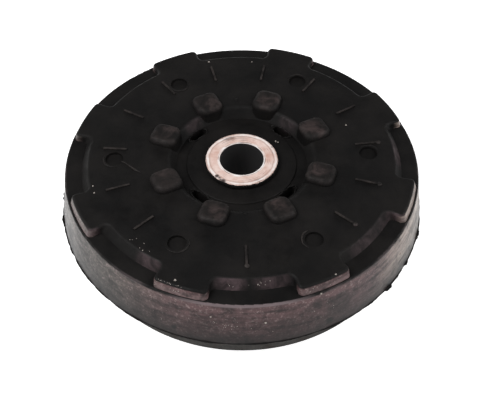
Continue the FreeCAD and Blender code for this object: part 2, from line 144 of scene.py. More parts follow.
rubberLook = {
    "dark": "#0a0909",
    "worn": "#171514",        # rubbed or dusty black
    "raised": "#262120",      # block tops, which hands and trays rub
    "palest": "#3f3534",      # the most rubbed places on them, which also carry painted highlights
    "rib": "#393432",         # crests of the thin ribs and mould marks
    # bloom colours of the rim's upright faces: partly real bloom, partly a painted reflection of the white floor
    "bloom": "#4e4843",
    "warmBloom": "#5e4748",   # thicker release agent, on the side that lay to the right, and partly a painted reflection of the white floor
    "paleBloom": "#9b8c80",   # painted highlight at the right end of the wall, in streaks
    "thickBloom": "#8c7a79",  # droplets, and a painted highlight at the pads' feet
    "edge": "#a08f92",        # the wall's top edge: a painted highlight along its front, and pale patches all round, partly rubbed and partly painted highlight
    "pinkBloom": "#514346",   # on slanted faces inside the rim
    "topRoughness": 0.6,
    "wallRoughness": 0.33,
    "specular": 0.16,         # a thin bloom scatters most of the gloss that rubber has when new
    # dents: strength, and depth in mm
    "stippleDent": {"Strength": 0.25, "Distance": 0.06 * mm},
    "blotchDent": {"Strength": 0.35, "Distance": 0.25 * mm},
    # noises by the size of their clouds in mm. The speckle is release droplets and the stipple is the texture of
    # the blasted mould face. Both are drawn coarser than real, so that they show
    "noises": {
        "cloud": {"Scale": 1 / 14.0, "Detail": 5.0, "Roughness": 0.6},
        "blotch": {"Scale": 1 / 4.2, "Detail": 6.0, "Roughness": 0.68, "Distortion": 0.6},
        "speckle": {"Scale": 1 / 0.9, "Detail": 3.0, "Roughness": 0.7},
        "stipple": {"Scale": 1 / 0.5, "Detail": 2.0, "Roughness": 0.5},
    },
    "streakStretch": (0.05, 0.05, 0.42),  # per mm, for wiping marks that run round the wall
    "streak": {"Scale": 1.0, "Detail": 6.0, "Roughness": 0.7},
    # shares: 0 or To Min at the first limit, 1 or To Max at the second. Places are in mm, and level is 0 on a wall
    # and 1 on a flat top
    "shares": {
        "clouded": {"From Min": 0.38, "From Max": 0.66},                        # cloud
        "above": {"From Min": 31.95, "From Max": 33.6},                         # height, from just over the top face
        "roughed": {"From Min": 0.42, "From Max": 0.62, "To Min": 0.15},        # blotch
        "pastBlocks": {"From Min": 32.5, "From Max": 33.0},                     # radius
        "onRib": {"From Min": 31.86, "From Max": 32.1, "To Max": 0.8},          # height
        "upright": {"From Min": 0.62, "From Max": 0.3},                         # level
        "outer": {"From Min": 54.0, "From Max": 56.0},                          # radius
        "aboveFlash": {"From Min": 12.6, "From Max": 13.0, "To Min": 0.3},      # height
        "bloomTop": {"From Min": 12.0, "From Max": 26.0, "To Min": 0.03},       # height; darker towards the bottom of the wall
        "wiped": {"From Min": 0.82, "From Max": 1.16, "To Min": 0.2, "To Max": 1.2},  # wear
        "edgeFoot": {"From Min": 27.7, "From Max": 28.2},                       # height
        "edgeTop": {"From Min": 28.79, "From Max": 28.7},                       # height, just under the ledge
        "edgeBare": {"To Min": 1.0, "To Max": 0.35},                            # edge band; less bloom here, so the wall's rounded top edge shows dark
        "edgeWorn": {"From Min": 0.5, "From Max": 0.66, "To Max": 0.12},        # cloud; pale patches on the top edge, partly rubbed and partly painted highlight
        "edgeFront": {"From Min": -53.5, "From Max": -57.0, "To Max": 0.45},    # y; painted highlight along the front of the top edge
        "droplets": {"From Min": 0.52, "From Max": 0.7},                        # speckle
        "padFoot": {"From Min": 31.0, "From Max": 29.4, "To Max": 0.45},        # height; paler towards the pads' feet: painted highlight
        "onPad": {"From Min": 28.8, "From Max": 29.0},                          # height
        "rightSide": {"From Min": -44.0, "From Max": -14.0},                    # x
        "rightEnd": {"From Min": 36.0, "From Max": 53.0},                       # x
        "dried": {"From Min": 0.12, "From Max": 0.5},                           # right end times streak: painted highlight
        "slanted": {"From Min": 0.97, "From Max": 0.7},                         # level
        "broken": {"From Min": 0.4, "From Max": 0.62, "To Min": 0.3, "To Max": 1.2},    # blotch
        "smeared": {"From Min": 0.75, "From Max": 1.25, "To Min": 1.25, "To Max": 0.8},  # wear, scales the roughness
    },
    # places with extra pink bloom: x, y, z and reach in mm, and strength
    "pinkSpots": [
        (-27.3, -43.2, 30.4, 6.0, 0.6),
        (-3.3, -51.6, 30.1, 6.0, 0.7),
        (9.0, -50.4, 30.1, 7.0, 0.5),
        (37.7, -34.6, 30.6, 8.5, 0.4),
        (44.7, -26.6, 30.1, 6.5, 0.3),
        (51.4, 3.0, 30.3, 8.0, 0.5),
        (17.1, 17.5, 30.6, 5.6, 0.35),
        (-17.6, 17.4, 30.6, 5.6, 0.3),
        (-46.0, -31.1, 30.2, 3.0, 0.8),
        (49.0, -25.2, 30.2, 3.0, 0.8),
    ],
    # places on the block tops that are paler: rubbed, and painted highlights
    "rubSpots": [
        (22.8, 11.5, 33.9, 4.2, 0.9),
        (26.0, 9.0, 33.6, 2.6, 0.8),
        (24.5, -7.9, 33.9, 4.0, 0.8),
        (-7.9, -26.6, 33.9, 4.0, 0.7),
        (11.3, -23.2, 33.9, 3.4, 0.9),
        (7.9, 23.7, 34.0, 3.8, 0.9),
        (11.5, 24.5, 33.6, 2.2, 0.9),
        (-9.5, 22.6, 34.0, 4.2, 0.8),
        (-23.5, 11.0, 33.9, 3.6, 0.6),
        (-25.0, -9.0, 33.9, 3.6, 0.5),
    ],
    # dark places on the wall without bloom, most of them just above fins of the flash
    "bareSpots": [
        (-20.3, -56.4, 15.7, 1.3, 1.0),
        (26.9, -53.6, 15.5, 1.9, 1.0),
        (-43.9, -40.9, 14.0, 1.4, 1.0),
        (52.6, -29.4, 13.8, 2.2, 1.0),
        (50.0, -33.0, 13.8, 2.0, 1.0),
        (46.6, -37.6, 13.6, 2.2, 1.0),
        (41.4, -43.9, 13.0, 1.2, 1.0),
        (-54.6, -25.1, 14.7, 2.0, 1.0),
        (23.0, -54.5, 25.5, 2.4, 0.5),
        (-33.0, -49.5, 22.5, 4.5, 0.35),
        (14.0, -57.8, 19.0, 5.0, 0.3),
        (30.0, -51.3, 21.0, 6.5, 0.55),
        (-14.0, -57.4, 16.0, 5.0, 0.35),
    ],
}


# The dull black of the top, with soft clouds of dust. Blocks, ribs and mould marks stand above the top face and are
# rubbed paler in patches, and the palest spots on the block tops are also painted highlights. Each layer lies over the
# ones before it by its share.
def topColour(tree, at):
    shares = rubberLook["shares"]
    clouded = add(tree, "ShaderNodeMapRange", {"Value": at["cloud"]}, shares["clouded"]).outputs["Result"]
    above = add(tree, "ShaderNodeMapRange", {"Value": at["height"]}, shares["above"]).outputs["Result"]
    roughed = add(tree, "ShaderNodeMapRange", {"Value": at["blotch"]}, shares["roughed"]).outputs["Result"]
    rubbed = add(tree, "ShaderNodeMath", {0: above, 1: roughed}, operation="MULTIPLY").outputs[0]
    rubNear = nearSpots(tree, at["place"], rubberLook["rubSpots"])
    rubMost = add(tree, "ShaderNodeMath", {0: rubNear, 1: rubbed}, operation="MULTIPLY").outputs[0]
    pastBlocks = add(tree, "ShaderNodeMapRange", {"Value": at["radius"]}, shares["pastBlocks"]).outputs["Result"]
    onRib = add(tree, "ShaderNodeMapRange", {"Value": at["height"]}, shares["onRib"]).outputs["Result"]
    crest = add(tree, "ShaderNodeMath", {0: pastBlocks, 1: onRib}, operation="MULTIPLY").outputs[0]
    ribRubbed = add(tree, "ShaderNodeMath", {0: crest, 1: roughed}, operation="MULTIPLY").outputs[0]
    colour = add(
        tree, "ShaderNodeMix", {0: clouded},
        {6: linear(rubberLook["dark"]), 7: linear(rubberLook["worn"])}, data_type="RGBA",
    ).outputs[2]
    for share, layer in ((rubbed, "raised"), (rubMost, "palest"), (ribRubbed, "rib")):
        colour = add(
            tree, "ShaderNodeMix", {0: share, 6: colour}, {7: linear(rubberLook[layer])}, data_type="RGBA",
        ).outputs[2]
    return colour


# Colour of the bloom, partly a painted reflection of the white floor: cold at the left and warm at the right, with a
# pale painted highlight in streaks at the right end, and thick in droplets, with a painted highlight at the pads' feet
def bloomColour(tree, at):
    shares = rubberLook["shares"]
    rightSide = add(
        tree, "ShaderNodeMapRange", {"Value": at["x"]}, shares["rightSide"], interpolation_type="SMOOTHSTEP",
    ).outputs["Result"]
    # Painted highlight at the right end of the wall, broken into streaks
    rightEnd = add(tree, "ShaderNodeMapRange", {"Value": at["x"]}, shares["rightEnd"]).outputs["Result"]
    streaked = add(tree, "ShaderNodeMath", {0: rightEnd, 1: at["streak"]}, operation="MULTIPLY").outputs[0]
    dried = add(tree, "ShaderNodeMapRange", {"Value": streaked}, shares["dried"]).outputs["Result"]
    droplets = add(tree, "ShaderNodeMapRange", {"Value": at["speckle"]}, shares["droplets"]).outputs["Result"]
    # Painted highlight: the pads' faces are paler towards their feet
    padFoot = add(tree, "ShaderNodeMapRange", {"Value": at["height"]}, shares["padFoot"]).outputs["Result"]
    onPad = add(tree, "ShaderNodeMapRange", {"Value": at["height"]}, shares["onPad"]).outputs["Result"]
    gathered = add(tree, "ShaderNodeMath", {0: padFoot, 1: onPad}, operation="MULTIPLY").outputs[0]
    thick = add(tree, "ShaderNodeMath", {0: droplets, 1: gathered}, operation="MAXIMUM").outputs[0]
    colour = add(
        tree, "ShaderNodeMix", {0: rightSide},
        {6: linear(rubberLook["bloom"]), 7: linear(rubberLook["warmBloom"])}, data_type="RGBA",
    ).outputs[2]
    for share, layer in ((dried, "paleBloom"), (thick, "thickBloom")):
        colour = add(
            tree, "ShaderNodeMix", {0: share, 6: colour}, {7: linear(rubberLook[layer])}, data_type="RGBA",
        ).outputs[2]
    return colour


# The bloom lies on the upright faces of the rim, and its paleness there is partly a painted reflection of the white
# floor. It gets darker towards the bottom, is wiped off in blotches and streaks and is gone at the bare spots. It is
# thinned in a band just under the ledge, so the wall's rounded top edge shows dark, and that edge has a pale painted
# highlight along its front and pale patches all round, partly rubbed and partly painted highlight. Gives the colour,
# and the share of the rim's upright faces.
def rimBloom(tree, at, under):
    shares = rubberLook["shares"]
    # the bloom keeps to upright faces, which makes them paler than the top: partly a painted reflection of the white
    # floor
    upright = add(
        tree, "ShaderNodeMapRange", {"Value": at["level"]}, shares["upright"], interpolation_type="SMOOTHSTEP",
    ).outputs["Result"]
    outer = add(tree, "ShaderNodeMapRange", {"Value": at["radius"]}, shares["outer"]).outputs["Result"]
    aboveFlash = add(tree, "ShaderNodeMapRange", {"Value": at["height"]}, shares["aboveFlash"]).outputs["Result"]
    rim = add(tree, "ShaderNodeMath", {0: outer, 1: aboveFlash}, operation="MULTIPLY").outputs[0]
    onRim = add(tree, "ShaderNodeMath", {0: upright, 1: rim}, operation="MULTIPLY").outputs[0]

    # A band just under the ledge, where the bloom is thinned so that the wall's rounded top edge shows dark
    edgeFoot = add(tree, "ShaderNodeMapRange", {"Value": at["height"]}, shares["edgeFoot"]).outputs["Result"]
    edgeTop = add(tree, "ShaderNodeMapRange", {"Value": at["height"]}, shares["edgeTop"]).outputs["Result"]
    edgeBand = add(tree, "ShaderNodeMath", {0: edgeFoot, 1: edgeTop}, operation="MULTIPLY").outputs[0]
    edgeBare = add(tree, "ShaderNodeMapRange", {"Value": edgeBand}, shares["edgeBare"]).outputs["Result"]

    bloomTop = add(tree, "ShaderNodeMapRange", {"Value": at["height"]}, shares["bloomTop"]).outputs["Result"]
    wiped = add(tree, "ShaderNodeMapRange", {"Value": at["wear"]}, shares["wiped"]).outputs["Result"]
    torn = nearSpots(tree, at["place"], rubberLook["bareSpots"])
    whole = add(tree, "ShaderNodeMath", {1: torn}, {0: 1.0}, operation="SUBTRACT").outputs[0]
    bloomed = onRim
    for share in (bloomTop, edgeBare, wiped, whole):
        bloomed = add(tree, "ShaderNodeMath", {0: bloomed, 1: share}, operation="MULTIPLY").outputs[0]
    bloomed.node.use_clamp = True  # because wiped goes up to 1.2
    wall = add(
        tree, "ShaderNodeMix", {0: bloomed, 6: under, 7: bloomColour(tree, at)}, data_type="RGBA",
    ).outputs[2]

    # Painted highlight on the wall's rounded top edge: strong along the front, in cloudy patches all round
    edgeOuter = add(tree, "ShaderNodeMath", {0: edgeBand, 1: outer}, operation="MULTIPLY").outputs[0]
    edgeWorn = add(tree, "ShaderNodeMapRange", {"Value": at["cloud"]}, shares["edgeWorn"]).outputs["Result"]
    edgeFront = add(tree, "ShaderNodeMapRange", {"Value": at["y"]}, shares["edgeFront"]).outputs["Result"]
    edgePale = add(tree, "ShaderNodeMath", {0: edgeWorn, 1: edgeFront}, operation="MAXIMUM").outputs[0]
    edgeShare = add(tree, "ShaderNodeMath", {0: edgeOuter, 1: edgePale}, operation="MULTIPLY").outputs[0]
    colour = add(
        tree, "ShaderNodeMix", {0: edgeShare, 6: wall}, {7: linear(rubberLook["edge"])}, data_type="RGBA",
    ).outputs[2]
    return colour, onRim


# Pink bloom on the slanted faces near the given places, broken up by the blotches
def pinkBloom(tree, at, under):
    shares = rubberLook["shares"]
    slanted = add(tree, "ShaderNodeMapRange", {"Value": at["level"]}, shares["slanted"]).outputs["Result"]
    broken = add(tree, "ShaderNodeMapRange", {"Value": at["blotch"]}, shares["broken"]).outputs["Result"]
    near = nearSpots(tree, at["place"], rubberLook["pinkSpots"])
    there = add(tree, "ShaderNodeMath", {0: near, 1: slanted}, operation="MULTIPLY").outputs[0]
    share = add(tree, "ShaderNodeMath", {0: there, 1: broken}, operation="MULTIPLY", use_clamp=True).outputs[0]
    return add(
        tree, "ShaderNodeMix", {0: share, 6: under}, {7: linear(rubberLook["pinkBloom"])}, data_type="RGBA",
    ).outputs[2]


def rubberMaterial():
    mat, tree = newMaterial("naturalRubberMoulded")
    place = placeInMm(tree)
    xyz = add(tree, "ShaderNodeSeparateXYZ", {"Vector": place}).outputs
    at = {"place": place, "x": xyz["X"], "y": xyz["Y"], "height": xyz["Z"], "radius": axisDistance(tree, place)}
    at["level"] = add(tree, "ShaderNodeMath", {0: facingUp(tree)}, operation="ABSOLUTE").outputs[0]
    for name, look in rubberLook["noises"].items():
        at[name] = add(tree, "ShaderNodeTexNoise", {"Vector": place}, look).outputs["Fac"]
    stretched = add(
        tree, "ShaderNodeVectorMath", {0: place}, {1: rubberLook["streakStretch"]}, operation="MULTIPLY",
    ).outputs["Vector"]
    at["streak"] = add(tree, "ShaderNodeTexNoise", {"Vector": stretched}, rubberLook["streak"]).outputs["Fac"]
    at["wear"] = add(tree, "ShaderNodeMath", {0: at["blotch"], 1: at["streak"]}, operation="ADD").outputs[0]

    bloomed, onRim = rimBloom(tree, at, topColour(tree, at))
    colour = pinkBloom(tree, at, bloomed)

    plain = add(
        tree, "ShaderNodeMapRange", {"Value": onRim},
        {"To Min": rubberLook["topRoughness"], "To Max": rubberLook["wallRoughness"]},
    ).outputs["Result"]
    smeared = add(tree, "ShaderNodeMapRange", {"Value": at["wear"]}, rubberLook["shares"]["smeared"]).outputs["Result"]
    roughness = add(tree, "ShaderNodeMath", {0: plain, 1: smeared}, operation="MULTIPLY").outputs[0]
    stippled = add(tree, "ShaderNodeBump", {"Height": at["stipple"]}, rubberLook["stippleDent"]).outputs["Normal"]
    dented = add(
        tree, "ShaderNodeBump", {"Height": at["blotch"], "Normal": stippled}, rubberLook["blotchDent"],
    ).outputs["Normal"]
    shader = add(
        tree, "ShaderNodeBsdfPrincipled",
        {"Base Color": colour, "Roughness": roughness, "Normal": dented},
        {"Specular IOR Level": rubberLook["specular"]},
    )
    add(tree, "ShaderNodeOutputMaterial", {"Surface": shader.outputs[0]})
    return mat


# Turned steel bush
# Mild steel turned on a lathe and left bare: fine rings round the bore, a warm tarnish from handling and a thin film of
# rust. The face is drawn near white and mostly matt: bright steel, and partly a painted reflection of the light above,
# with painted highlights on the bore's bevel and the outer corner. The bore is painted near black, as painted shade in
# the hole.

bushLook = {
    # near white: bright steel, partly a painted reflection of the light above
    "face": "#fffaf8",
    "tarnish": "#e3c6bb",
    "groove": "#6d5650",
    "spot": "#3a2a26",
    # the bore, painted near black: painted shade in the hole
    "bore": "#161415",
    # tone along the radius, 7 to 12 mm as 0 to 1: painted highlight on the bevel at the bore, dull band, painted
    # highlight on the outer corner
    "profile": [
        (0.06, "#ffffff"), (0.14, "#ffffff"), (0.22, "#efdad2"), (0.56, "#f6e3dc"), (0.66, "#ead8d1"),
        (0.71, "#cbb2a9"), (0.76, "#f6e9e4"), (0.86, "#ffffff"), (0.95, "#ddc8c0"),
    ],
    # noises by the size of their clouds in mm. The band runs along the radius: deeper tool marks that kept a film
    "cloud": {"Scale": 1 / 3.5, "Detail": 6.0, "Roughness": 0.65},
    "patch": {"Scale": 1 / 6.0, "Detail": 4.0},
    "band": {"Scale": 1 / 0.5, "Detail": 3.0, "Roughness": 0.6},
    "ringPitch": 0.35,     # mm, drawn coarser than a real feed mark so that it shows
    "ringDent": {"Strength": 0.3, "Distance": 0.02 * mm},
    "wearDent": {"Strength": 0.3, "Distance": 0.1 * mm},
    "shares": {
        "tarnished": {"From Min": 0.42, "From Max": 0.75},                              # cloud
        "grooved": {"From Min": 1.12, "From Max": 1.24, "To Max": 0.75},                # band and patch
        "wavy": {"From Min": 0.3, "From Max": 0.7, "To Min": -0.35, "To Max": 0.35},    # patch, to mm
        "across": {"From Min": 7.0, "From Max": 12.0},                                  # radius
        "inside": {"From Min": 7.32, "From Max": 7.22},                                 # radius, at the chamfer's edge
        "metallic": {"To Min": 0.15, "To Max": 0.0},    # from the face, mostly matt so that its near-white colour shows the painted reflection, to the bore
        "roughness": {"To Min": 0.42, "To Max": 0.85},
    },
    # dark spots: x, y, z and reach in mm, and strength
    "darkSpots": [
        (-8.0, -7.7, 30.4, 1.0, 0.95),
        (-7.2, -8.4, 30.4, 0.7, 0.8),
        (-6.0, -9.9, 30.4, 1.3, 0.95),
        (-6.8, -9.3, 30.4, 0.7, 0.8),
        (10.1, 5.6, 30.4, 0.7, 0.5),
    ],
}


def bushMaterial():
    mat, tree = newMaterial("mildSteelTurned")
    shares = bushLook["shares"]
    place = placeInMm(tree)
    radius = axisDistance(tree, place)
    cloud, patch = (
        add(tree, "ShaderNodeTexNoise", {"Vector": place}, bushLook[name]).outputs["Fac"] for name in ("cloud", "patch")
    )
    band = add(tree, "ShaderNodeTexNoise", {"W": radius}, bushLook["band"], noise_dimensions="1D").outputs["Fac"]
    tarnished = add(tree, "ShaderNodeMapRange", {"Value": cloud}, shares["tarnished"]).outputs["Result"]
    banded = add(tree, "ShaderNodeMath", {0: band, 1: patch}, operation="ADD").outputs[0]
    grooved = add(tree, "ShaderNodeMapRange", {"Value": banded}, shares["grooved"]).outputs["Result"]
    wavy = add(tree, "ShaderNodeMapRange", {"Value": patch}, shares["wavy"]).outputs["Result"]
    shifted = add(tree, "ShaderNodeMath", {0: radius, 1: wavy}, operation="ADD").outputs[0]
    across = add(tree, "ShaderNodeMapRange", {"Value": shifted}, shares["across"]).outputs["Result"]
    inside = add(tree, "ShaderNodeMapRange", {"Value": radius}, shares["inside"]).outputs["Result"]

    face = add(
        tree, "ShaderNodeMix", {0: tarnished},
        {6: linear(bushLook["face"]), 7: linear(bushLook["tarnish"])}, data_type="RGBA",
    ).outputs[2]
    turned = add(
        tree, "ShaderNodeMix", {0: grooved, 6: face}, {7: linear(bushLook["groove"])}, data_type="RGBA",
    ).outputs[2]
    profile = add(tree, "ShaderNodeValToRGB", {"Fac": across}, stops=bushLook["profile"]).outputs["Color"]
    colour = add(
        tree, "ShaderNodeMix", {6: turned, 7: profile}, {0: 1.0}, data_type="RGBA", blend_type="MULTIPLY",
    ).outputs[2]
    spotted = nearSpots(tree, place, bushLook["darkSpots"])
    for share, layer in ((spotted, "spot"), (inside, "bore")):
        colour = add(
            tree, "ShaderNodeMix", {0: share, 6: colour}, {7: linear(bushLook[layer])}, data_type="RGBA",
        ).outputs[2]

    metallic = add(tree, "ShaderNodeMapRange", {"Value": inside}, shares["metallic"]).outputs["Result"]
    roughness = add(tree, "ShaderNodeMapRange", {"Value": inside}, shares["roughness"]).outputs["Result"]
    turns = add(
        tree, "ShaderNodeMath", {0: radius}, {1: 2 * math.pi / bushLook["ringPitch"]}, operation="MULTIPLY",
    ).outputs[0]
    rings = add(tree, "ShaderNodeMath", {0: turns}, operation="SINE").outputs[0]
    onFace = add(tree, "ShaderNodeMath", {0: rings, 1: facingUp(tree)}, operation="MULTIPLY").outputs[0]
    ringed = add(tree, "ShaderNodeBump", {"Height": onFace}, bushLook["ringDent"]).outputs["Normal"]
    worn = add(tree, "ShaderNodeBump", {"Height": cloud, "Normal": ringed}, bushLook["wearDent"]).outputs["Normal"]
    shader = add(
        tree, "ShaderNodeBsdfPrincipled",
        {"Base Color": colour, "Metallic": metallic, "Roughness": roughness, "Normal": worn},
    )
    add(tree, "ShaderNodeOutputMaterial", {"Surface": shader.outputs[0]})
    return mat


# Phosphated steel
# Pressed sheet with a zinc phosphate coat, as rubber is bonded to: dark grey, matt and faintly crystalline, with
# brown stains where it meets the rubber.

seatLook = {
    "coat": "#2b2927",
    "crystal": "#3f3c39",
    "stain": "#2c241e",
    "metallic": 0.4,
    "crystals": {"Scale": 1 / 0.7, "Randomness": 1.0},  # 0.7 mm, drawn coarser than the real coat so that they show
    "crystalDent": {"Strength": 0.2, "Distance": 0.03 * mm},
    "cloud": {"Scale": 1 / 6.0, "Detail": 6.0, "Roughness": 0.65},
    "stained": {"From Min": 0.5, "From Max": 0.68},
    "roughness": {"From Min": 0.3, "From Max": 0.7, "To Min": 0.6, "To Max": 0.78},
}


def phosphateMaterial():
    mat, tree = newMaterial("phosphatedSteelPressed")
    place = placeInMm(tree)
    crystals = add(tree, "ShaderNodeTexVoronoi", {"Vector": place}, seatLook["crystals"], feature="F1").outputs["Color"]
    tone = add(tree, "ShaderNodeSeparateXYZ", {"Vector": crystals}).outputs["X"]
    cloud = add(tree, "ShaderNodeTexNoise", {"Vector": place}, seatLook["cloud"]).outputs["Fac"]
    stained = add(tree, "ShaderNodeMapRange", {"Value": cloud}, seatLook["stained"]).outputs["Result"]
    coat = add(
        tree, "ShaderNodeMix", {0: tone},
        {6: linear(seatLook["coat"]), 7: linear(seatLook["crystal"])}, data_type="RGBA",
    ).outputs[2]
    colour = add(
        tree, "ShaderNodeMix", {0: stained, 6: coat}, {7: linear(seatLook["stain"])}, data_type="RGBA",
    ).outputs[2]
    roughness = add(tree, "ShaderNodeMapRange", {"Value": cloud}, seatLook["roughness"]).outputs["Result"]
    dented = add(tree, "ShaderNodeBump", {"Height": tone}, seatLook["crystalDent"]).outputs["Normal"]
    shader = add(
        tree, "ShaderNodeBsdfPrincipled",
        {"Base Color": colour, "Roughness": roughness, "Normal": dented}, {"Metallic": seatLook["metallic"]},
    )
    add(tree, "ShaderNodeOutputMaterial", {"Surface": shader.outputs[0]})
    return mat


# Grit-blasted steel
# Mild steel sheet of the core plate, blasted so that the rubber bonds to it, and sealed in the rubber: bright grey
# with the dents of the grit.

plateLook = {
    "tone": [(0.35, "#6f6b68"), (0.65, "#8f8b87")],  # dents, and the steel between them
    "dents": {"Scale": 1 / 0.6, "Detail": 3.0},      # 0.6 mm, drawn coarser than real so that they show
    "dentDepth": {"Strength": 0.5, "Distance": 0.05 * mm},
    "surface": {"Metallic": 1.0, "Roughness": 0.55},
}


def plateMaterial():
    mat, tree = newMaterial("mildSteelGritBlasted")
    dents = add(tree, "ShaderNodeTexNoise", {"Vector": placeInMm(tree)}, plateLook["dents"]).outputs["Fac"]
    colour = add(tree, "ShaderNodeValToRGB", {"Fac": dents}, stops=plateLook["tone"]).outputs["Color"]
    dented = add(tree, "ShaderNodeBump", {"Height": dents}, plateLook["dentDepth"]).outputs["Normal"]
    shader = add(tree, "ShaderNodeBsdfPrincipled", {"Base Color": colour, "Normal": dented}, plateLook["surface"])
    add(tree, "ShaderNodeOutputMaterial", {"Surface": shader.outputs[0]})
    return mat


rubber = rubberMaterial()
for nodeName, material in (
    ("rubber_body", rubber),
    ("centre_bush", bushMaterial()),
    ("core_plate", plateMaterial()),
    ("bearing_seat_ring", phosphateMaterial()),
):
    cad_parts[nodeName].material_slots[0].material = material
print("materials are set")

# Surfaces


# Four-sided faces of a grid whose rows are closed rings of points. A closed grid joins its last row to the first.
def gridFaces(rows, count, closed=False):
    i, j = np.meshgrid(np.arange(rows if closed else rows - 1), np.arange(count), indexing="ij")
    here, right = i * count + j, i * count + (j + 1) % count
    below, corner = ((i + 1) % rows) * count + j, ((i + 1) % rows) * count + (j + 1) % count
    return np.stack([here, right, corner, below], axis=-1).reshape(-1, 4)


# A tube along a path: at each of its points an ellipse, half as wide and high as given, stands upright across the
# path, with its width along the cross product of the path's direction and +Z. A closed path joins its ends, an
# open one is drawn shut at both, and doubled points are merged.
def sweep(path, halfWidth, halfHeight, closed=False, sides=8):
    up = np.array((0.0, 0.0, 1.0))
    ahead = np.roll(path, -1, axis=0) - np.roll(path, 1, axis=0)
    if not closed:
        ahead[0], ahead[-1] = path[1] - path[0], path[-1] - path[-2]
    ahead /= np.linalg.norm(ahead, axis=1, keepdims=True)
    across = np.cross(ahead, up)
    across /= np.linalg.norm(across, axis=1, keepdims=True)
    turn = np.linspace(0, 2 * np.pi, sides, endpoint=False)
    wide, high = (np.broadcast_to(half, len(path))[:, None] for half in (halfWidth, halfHeight))
    points = path[:, None] + across[:, None] * (np.cos(turn) * wide)[..., None] + up * (np.sin(turn) * high)[..., None]
    return points.reshape(-1, 3), gridFaces(len(path), sides, closed)


# A low dome: at distance t from its middle, from 0 to 1, its height is the square root of 1 - t squared, and it
# is mirrored below its foot, so that it is closed. Size is (width, height), both half.
def dome(middle, size, rings=5, sides=12):
    rise, turn = np.meshgrid(
        np.linspace(-np.pi / 2, np.pi / 2, 2 * rings + 1), np.linspace(0, 2 * np.pi, sides, endpoint=False),
        indexing="ij",
    )
    points = np.stack(
        [np.cos(rise) * np.cos(turn) * size[0], np.cos(rise) * np.sin(turn) * size[0], np.sin(rise) * size[1]],
        axis=-1,
    )
    return (points + np.array(middle)).reshape(-1, 3), gridFaces(2 * rings + 1, sides)


# One object from several (points, faces) shells in mm, with doubled points merged and the faces turned outwards
def makePiece(name, shells, material):
    start, points, faces = 0, [], []
    for shellPoints, shellFaces in shells:
        points.append(shellPoints * mm)
        faces.append(shellFaces + start)
        start += len(shellPoints)
    mesh = bpy.data.meshes.new(name)
    mesh.from_pydata(np.vstack(points).tolist(), [], np.vstack(faces).tolist())
    merged = bmesh.new()
    merged.from_mesh(mesh)
    bmesh.ops.remove_doubles(merged, verts=merged.verts, dist=0.0001 * mm)
    bmesh.ops.recalc_face_normals(merged, faces=merged.faces)
    merged.to_mesh(mesh)
    merged.free()
    mesh.shade_smooth()
    mesh.materials.append(material)
    piece = bpy.data.objects.new(name, mesh)
    bpy.context.collection.objects.link(piece)
    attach(piece, "root")


# Places round the axis: angle in degrees counted from +X
def around(radius, degrees, height):
    a = np.radians(degrees)
    return np.stack([radius * np.cos(a), radius * np.sin(a), height + 0 * a], axis=-1)


# Wandering line: a sum of five sines, each about 1.7 times as fast and 1.35 times as low as the one before, so it
# stays mostly between -1 and 1. Each makes a whole number of waves as t goes from 0 to 1, so a loop meets itself.
def wander(t, seed, slowest):
    sines, faster, lower = 5, 1.7, 1.35
    step = np.arange(sines)
    phase = np.random.default_rng(seed).uniform(0, 2 * np.pi, sines)
    waves = np.round(slowest * faster ** step)
    return (np.sin(2 * np.pi * t[:, None] * waves + phase) / lower ** step).sum(axis=1) / 2


# Half a sine wave as t goes from 0 to 1, to a power below 1, which makes its ends blunter
def swell(t, power):
    return np.abs(np.sin(np.pi * t)) ** power


# Flash of the mould
# Where the two halves of the mould meet, the rubber has run out into a hair line all round, and into torn fins.

flash = {
    "radius": 60.35,       # mm, just inside the wall's widest edge
    "height": 12.5,
    "line": 0.3,           # how far the hair line stands out
    "leastLine": 0.03,
    "raggedLine": 0.6,     # how much the line and the fins wander, as a share of their reach
    "raggedFin": 0.35,
    "finRoot": 0.1,        # how deep a fin sits in the wall
    "blunt": 0.6,          # power of a fin's half sine
    "thickness": 0.22,
    # fins: first and last angle in degrees, how far they stand out and how far they hang, mm
    "fins": [
        (177.6, 182.6, 0.95, 0.1),
        (187.4, 194.4, 0.8, 0.0),
        (200.5, 206.0, 0.55, 0.5),
        (208.0, 213.5, 0.35, 0.2),
        (308.5, 315.5, 0.5, 0.2),
        (318.2, 322.0, 1.15, 0.35),
        (323.6, 326.4, 0.5, 0.4),
        (329.0, 333.6, 0.6, 0.3),
        (340.5, 347.0, 0.8, -0.1),
        (248.9, 251.2, 0.3, 0.6),
        (296.0, 298.6, 0.3, 0.6),
        (12.0, 17.0, 0.6, 0.1),
        (58.0, 61.0, 0.5, 0.2),
        (104.0, 108.0, 0.55, 0.1),
        (146.0, 151.0, 0.6, 0.2),
    ],
}


# The hair line is a ring whose width follows a wandering line. A fin is a flat tube along its arc, whose width,
# thickness and hang follow a half sine to a power, times a wandering line.
def addFlash():
    a = np.arange(0, 360, 0.75)
    ragged = 1 + flash["raggedLine"] * wander(a / 360, seed=3, slowest=17)
    reach = np.clip(flash["line"] * ragged, flash["leastLine"], None)
    path = around(flash["radius"], a, flash["height"])
    shells = [sweep(path, reach, flash["thickness"] / 2, closed=True, sides=6)]
    t = np.linspace(0, 1, 25)
    for number, (first, last, reach, hang) in enumerate(flash["fins"]):
        rise = swell(t, flash["blunt"]) * (1 + flash["raggedFin"] * wander(t, seed=20 + number, slowest=1))
        half = reach * np.clip(rise, 0, None) / 2
        a = np.linspace(first, last, len(t))
        path = around(flash["radius"] - flash["finRoot"] + half, a, flash["height"] - hang * rise / 2)
        shells.append(sweep(path, half, flash["thickness"] / 2 * np.clip(rise, 0, 1)))
    makePiece("mouldFlash", shells, rubber)


# Rubber round the bush's upper edge
# The rubber has crept up the bush's side in the mould and ends in a ragged rim about level with the steel face.

